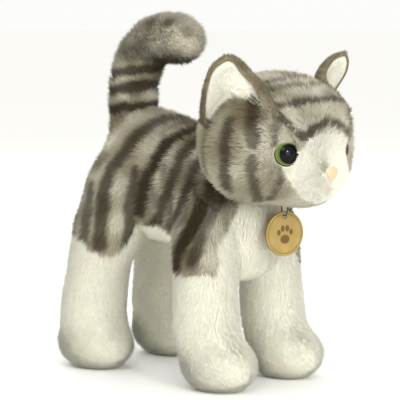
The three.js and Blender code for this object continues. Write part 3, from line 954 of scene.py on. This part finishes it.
def ear_rim():
    line = smooth_line(EAR_RIM + EAR_RIM[:1], 12)
    along = np.concatenate([[0], np.cumsum(np.linalg.norm(np.diff(line, axis=0), axis=1))])
    at = np.arange(EAR_SIDES) / EAR_SIDES * along[-1]
    return np.stack([np.interp(at, along, line[:, k]) for k in range(3)], 1)


def ear_hollow(share):
    """How far the cup goes in behind its rim, at that share of the way out from its middle."""
    return -EAR_HOLLOW * (1 - share ** 2.2)


def ear_mesh(name, rows, side, reach=1.0):
    """Rows of (share of the way to the rim, height towards the front), closed at both ends."""
    rim, facing, flip = ear_rim(), unit(EAR_FACING), np.array([side, 1, 1])
    points = []
    for share, height in rows:
        own = np.full(EAR_SIDES, share) * reach
        rise = height + ear_hollow(own) - ear_hollow(share)
        row = EAR_MIDDLE + (rim - EAR_MIDDLE) * own[:, None]
        fold = (smooth(225, 235, row[:, 2]) - 0.45) * smooth(62, 52, row[:, 0])
        rise = rise + EAR_FOLD * fold * (1 - own ** 2)
        points.append((row + facing * rise[:, None]) * flip)
    for share, height in (rows[0], rows[-1]):
        points.append((EAR_MIDDLE + facing * height)[None, :] * flip)
    obj = new_object(name, to_row(np.concatenate(points)), capped_rings(len(rows), EAR_SIDES))
    normals_out(obj)
    return obj


def ear_back_colour(p):
    tone = mix(rgb(146, 135, 108), rgb(120, 109, 84), noise(p, 7.0, 2.0))
    return mix(tone, rgb(168, 158, 130), 0.5 * smooth(0.6, 0.9, noise(p, 4.0, 8.0)))


for side_word, side in SIDES:
    shares = [(k + 0.5) / EAR_RINGS * 0.93 for k in range(EAR_RINGS)]
    front = [(k, ear_hollow(k) - 0.4) for k in shares]
    rim_roll = [(0.97, 0.6), (1.0, 0.3), (1.02, -0.9), (1.01, -2.2), (0.96, -EAR_THICK)]
    back = [(k, ear_hollow(k) * 1.3 - EAR_THICK) for k in reversed(shares)]
    ear_back = ear_mesh(f"ear_{side_word}_back_skin", front + rim_roll + back, side)
    paint(ear_back, ear_back_colour(points_of(ear_back)) * 0.8)
    put_on(ear_back, cloth_back)
    steps = np.linspace(0.07, 1, LINING_RINGS)
    low_rows = [(k * LINING_EDGE, ear_hollow(k * LINING_EDGE) - 0.8) for k in steps[::-1]]
    high_rows = [(k * LINING_EDGE, ear_hollow(k * LINING_EDGE) + 1.2 - 0.9 * k ** 6) for k in steps]
    rim = ear_rim()
    lining_reach = 1 - 0.16 * smooth(62, 46, rim[:, 0]) * smooth(208, 226, rim[:, 2])
    lining_reach += (0.13 if side > 0 else 0.02) * smooth(60, 71, rim[:, 0])
    lining = ear_mesh(f"ear_{side_word}_lining_skin", high_rows + low_rows, side, lining_reach)

    def lining_colour(p):
        # Painted shadow: the white lining turns grey towards the crease of its fold.
        fold = near_line(mirrored(p), [(62, -98, 240), (52, -104, 230)])
        return mix(LINING_WHITE, rgb(168, 166, 150), 0.6 * smooth(4.0, 0.8, fold))

    base, top = (end * np.array([side, 1, 1]) for end in (EAR_ROOT, EAR_TOP))

    def ear_nap(p, up=unit(top - base)):
        return np.tile(up, (len(p), 1))

    paint(lining, lining_colour(points_of(lining)) * 0.97)
    put_on(lining, cloth_back)
    outside_head = not_inside((head, 4.0))

    def off_lining(p, lining=lining):
        """Keeps the brown hair from coming up through the white lining."""
        spots = points_of(lining)
        tree = KDTree(len(spots))
        for number, spot in enumerate(spots):
            tree.insert(spot, number)
        tree.balance()
        return outside_head(p) & (np.array([tree.find(root)[2] for root in p]) > 2.3)

    back_fur = fur(f"ear_{side_word}_back_fur", ear_back, ear_back_colour, 230, 3.6, ear_nap,
                   keep=off_lining, lift=45.0, width=0.6, skin_depth=0.0, seed=31, shader=short_pile)
    lining_fur = fur(f"ear_{side_word}_lining_fur", lining, lining_colour, 260, 1.8, ear_nap,
                     keep=outside_head, lift=58.0, width=0.55, skin_depth=0.0, seed=33, shader=short_pile)
    for obj, slot in ((ear_back, "ear_plush"), (back_fur, "ear_plush"), (lining, "white_plush"),
                      (lining_fur, "white_plush")):
        finish_piece([obj], ["head", f"ear_{side_word}"])
    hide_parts(f"ear_{side_word}_back")
    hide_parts(f"ear_{side_word}_lining")


# ---------- eyes
EYE_RADIUS, EYE_DOME, EYE_SIDES = 9.1, 4.6, 96
BALL_RADIUS = (EYE_RADIUS ** 2 + EYE_DOME ** 2) / (2 * EYE_DOME)
LINER_RADIUS, LINER_REACH = 9.4, 9.7


def eye_frame(side):
    """The eye's own axes: towards the nose, up, and out of the face."""
    facing = unit(EYE_LOOKS * np.array([side, 1, 1]) + np.array([0, 0, 0.05]))
    inward = unit(np.cross(facing, [0, 0, 1]) * side)
    rise = np.cross(facing, inward)
    rise = rise * np.sign(rise[2])
    return np.stack([inward, rise, facing])


def disc_mesh(name, rings, sides, place):
    """A closed round body. rings are (radius, height) from its front pole to its back; place maps to 3-D."""
    points = []
    for radius, height in rings:
        a = 2 * math.pi * np.arange(sides) / sides
        points.append(place(radius * np.cos(a), radius * np.sin(a), np.full(sides, height)))
    for _, height in (rings[0], rings[-1]):
        points.append(place(np.zeros(1), np.zeros(1), np.array([height])))
    obj = new_object(name, to_row(np.concatenate(points)), capped_rings(len(rings), sides))
    normals_out(obj)
    return obj


for side_word, side in SIDES:
    axes = eye_frame(side)
    centre = EYE * np.array([side, 1, 1])

    def in_eye(u, v, h, axes=axes, centre=centre):
        return centre + u[:, None] * axes[0] + v[:, None] * axes[1] + h[:, None] * axes[2]

    dome = [(EYE_RADIUS * k, math.sqrt(BALL_RADIUS ** 2 - (EYE_RADIUS * k) ** 2) - BALL_RADIUS + EYE_DOME)
            for k in np.linspace(0.02, 1, 46)]
    eye = disc_mesh(f"eye_{side_word}_dome", dome + [(EYE_RADIUS, -1.2), (3.0, -2.2)], EYE_SIDES, in_eye)
    local = (points_of(eye) - centre) @ axes.T
    radius = np.linalg.norm(local[:, :2], axis=1)
    pupil = np.linalg.norm(local[:, :2] - np.array([1.35, -0.1]), axis=1)
    angle = np.arctan2(local[:, 1], local[:, 0])
    streak = 0.5 + 0.5 * np.sin(angle * 37 + 2 * np.sin(angle * 11))
    iris = mix(rgb(92, 112, 48), rgb(132, 154, 76), smooth(7.2, 8.6, radius))
    iris = mix(iris, rgb(70, 92, 36), 0.35 * streak)
    iris = mix(iris, rgb(52, 62, 28), smooth(8.0, 7.2, pupil))
    iris = mix(iris, rgb(40, 46, 24), smooth(8.75, 9.05, radius))
    paint(eye, mix(iris, rgb(5, 5, 5), smooth(7.35, 7.1, pupil)))
    put_on(eye, eye_plastic)
    finish_piece([eye], ["head"])

    outline = np.arange(EYE_SIDES) / EYE_SIDES * 2 * math.pi
    reach = LINER_REACH + 3.6 * np.exp(-((outline - math.radians(24)) / 0.26) ** 2)

    def in_liner(u, v, h, in_eye=in_eye, reach=reach):
        """The liner runs out to a point at the inner corner of the eye."""
        grow = np.resize(reach, len(u)) / LINER_REACH
        return in_eye(u * grow, v * grow, h)

    top = [(k * LINER_RADIUS, 0.75 - 0.35 * max(0, k - 0.8)) for k in np.linspace(0.1, 1, 12)]
    liner = disc_mesh(f"eye_{side_word}_rim", top + [(LINER_RADIUS, 0.1), (9.0, -0.7)], EYE_SIDES, in_liner)
    spots = points_of(liner)
    paint(liner, mix(rgb(26, 22, 18), rgb(48, 42, 34), noise(spots, 1.5)))
    put_on(liner, felt)
    finish_piece([liner], ["head"])
    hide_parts(f"eye_{side_word}", f"eye_{side_word}_washer")
    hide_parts(f"eye_{side_word}_liner")


# ---------- nose and mouth
def in_nose(u, v, h):
    """A rounded triangle, point down, laid on the muzzle's front."""
    a = np.arctan2(v, u)
    radius = np.hypot(u, v)
    corner = 1 + 0.13 * np.cos(3 * (a - math.pi / 6))
    x, z = radius * corner * np.cos(a) * NOSE_HALF, radius * corner * np.sin(a) * NOSE_TALL
    bend = 0.022 * (x ** 2 + z ** 2)
    return np.stack([x, -h + bend, z], 1) + NOSE_AT


nose = disc_mesh("nose_pad", [(k, 2.3 * math.sqrt(max(0, 1 - k ** 3))) for k in np.linspace(0.04, 0.98, 16)]
                 + [(1.0, -0.3), (0.9, -1.5)], 60, in_nose)
spots = points_of(nose)
rib = 0.5 + 0.5 * np.sin(spots[:, 0] * 7.0)
paint(nose, mix(mix(rgb(236, 182, 146), rgb(224, 166, 130), 0.35 * rib),
                rgb(238, 204, 176), 0.6 * smooth(3.0, 6.5, distance(spots, NOSE_AT))))
put_on(nose, stitch)
finish_piece([nose], ["head"])
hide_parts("nose")

mouth_x = np.linspace(-3.2, 3.2, 17)
mouth_line = np.stack([mouth_x, -143.8 + 0.03 * mouth_x ** 2, 156.6 + 0.16 * mouth_x ** 2], 1)
mouth = tube("mouth_thread", mouth_line, 0.4, (0.0, 1.0, 0.0))
spots = points_of(mouth)
paint(mouth, mix(rgb(232, 186, 156), rgb(212, 160, 128), 0.5 + 0.5 * np.sin(spots[:, 0] * 9)))
put_on(mouth, stitch)
finish_piece([mouth], ["head"])
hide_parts("mouth_stitch")

# ---------- hang tag
TAG_RADIUS, TAG_THICK, TAG_BEVEL, TAG_TURN = 17.3, 1.6, 0.25, math.radians(13.0)
HOLE_UP, HOLE_RADIUS, RING_RADIUS = 13.5, 1.9, 15.2
TAG_MIDDLE = np.array([0.0, -TAG_AHEAD, (disc_low.z + disc_high.z) / 2 / MM])
TAG_SIDES, TAG_RINGS = 128, 64


def in_tag(u, v, h):
    """u across the disc, v up, h out of its printed face."""
    face = np.array([-math.sin(TAG_TURN), -math.cos(TAG_TURN), 0.0])
    across = np.array([math.cos(TAG_TURN), -math.sin(TAG_TURN), 0.0])
    return TAG_MIDDLE + u[:, None] * across + v[:, None] * np.array([0, 0, 1.0]) + h[:, None] * face


around = 2 * math.pi * np.arange(TAG_SIDES) / TAG_SIDES
circle = np.stack([np.cos(around), np.sin(around)], 1)
hole_edge, rim_edge = HOLE_RADIUS * circle + (0, HOLE_UP), TAG_RADIUS * circle
tag_rows = []
for face, shares in ((1, np.linspace(0, 1, TAG_RINGS)), (-1, np.linspace(1, 0, 12))):
    for share in shares:
        high = TAG_THICK / 2 - (TAG_BEVEL if share in (0.0, 1.0) else 0.0)
        tag_rows.append((hole_edge * (1 - share) + rim_edge * share, face * high))
tag_points = np.concatenate([in_tag(uv[:, 0], uv[:, 1], np.full(TAG_SIDES, h)) for uv, h in tag_rows])
quads = ring_quads(len(tag_rows) + 1, TAG_SIDES)
tag_faces = [tuple(corner % len(tag_points) for corner in quad) for quad in quads]
disc = new_object("tag_card", to_row(tag_points), tag_faces)
normals_out(disc)
disc_uv = np.concatenate([uv for uv, _ in tag_rows])
out_from = np.linalg.norm(disc_uv, axis=1)
gold = mix(rgb(170, 148, 88), rgb(154, 130, 72), noise(tag_points, 6.0))
gold = mix(gold, rgb(120, 92, 44), 0.85 * smooth(0.5, 0.25, np.abs(out_from - RING_RADIUS)))
gold = mix(gold, rgb(132, 102, 52), smooth(16.9, 17.25, out_from))
# A paw print: the pad and the toes, each a middle and two radii.
PAW = [((0.0, -4.2), (4.3, 3.5)), ((-5.6, 1.2), (1.7, 2.3)), ((-2.1, 4.1), (1.8, 2.5)),
       ((2.1, 4.1), (1.8, 2.5)), ((5.6, 1.2), (1.7, 2.3))]
inked = np.zeros(len(disc_uv))
for middle, radii in PAW:
    far = np.linalg.norm((disc_uv - middle) / radii, axis=1)
    inked = np.maximum(inked, smooth(1.08, 0.9, far))
front_side = np.repeat([h > 0 for _, h in tag_rows], TAG_SIDES)
paint(disc, mix(gold, rgb(104, 78, 38), inked * front_side))
put_on(disc, card)
finish_piece([disc], ["tag"])
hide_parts("tag_disc")

spots = points_of(string_loop)
twist = 0.5 + 0.5 * np.sin(spots[:, 2] * 5.0 + spots[:, 0] * 3.0)
paint(string_loop, mix(rgb(54, 42, 30), rgb(104, 84, 60), twist))
put_on(string_loop, stitch)

# ---------- stage
FLOOR_REACH = 30
floor_corners = [(x * FLOOR_REACH, y * FLOOR_REACH, 0) for x, y in ((-1, -1), (1, -1), (1, 1), (-1, 1))]
floor = new_object("floor", floor_corners, [(0, 1, 2, 3)])
paint(floor, np.tile([0.985, 0.982, 0.965], (4, 1)))
put_on(floor, material("paper", roughness=1.0, grain=0.01, grain_scale=4.0))
floor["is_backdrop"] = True


def lamp(name, location, target, size, power):
    data = bpy.data.lights.new(name, "AREA")
    data.shape, data.size, data.energy = "SQUARE", size, power
    aim(in_scene(name, data), location, target)


lamp("key", (-1.3, -0.9, 1.5), (0, 0, 0.13), 0.9, 8)
lamp("fill", (-0.55, -1.6, 0.4), (0, 0, 0.05), 0.9, 6.8)
lamp("catch", (-0.52, -1.42, 0.73), (-0.03, -0.1, 0.18), 0.26, 6.5)
lamp("rim", (0.6, 1.4, 1.3), (0, 0, 0.15), 1.0, 8)
world = bpy.data.worlds.new("studio")
world.use_nodes = True
sky = world.node_tree.nodes["Background"]
sky.inputs["Color"].default_value = (0.98, 0.975, 0.955, 1)
sky.inputs["Strength"].default_value = 1.0
bpy.context.scene.world = world
bpy.context.scene.view_settings.view_transform = "Standard"

low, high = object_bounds()
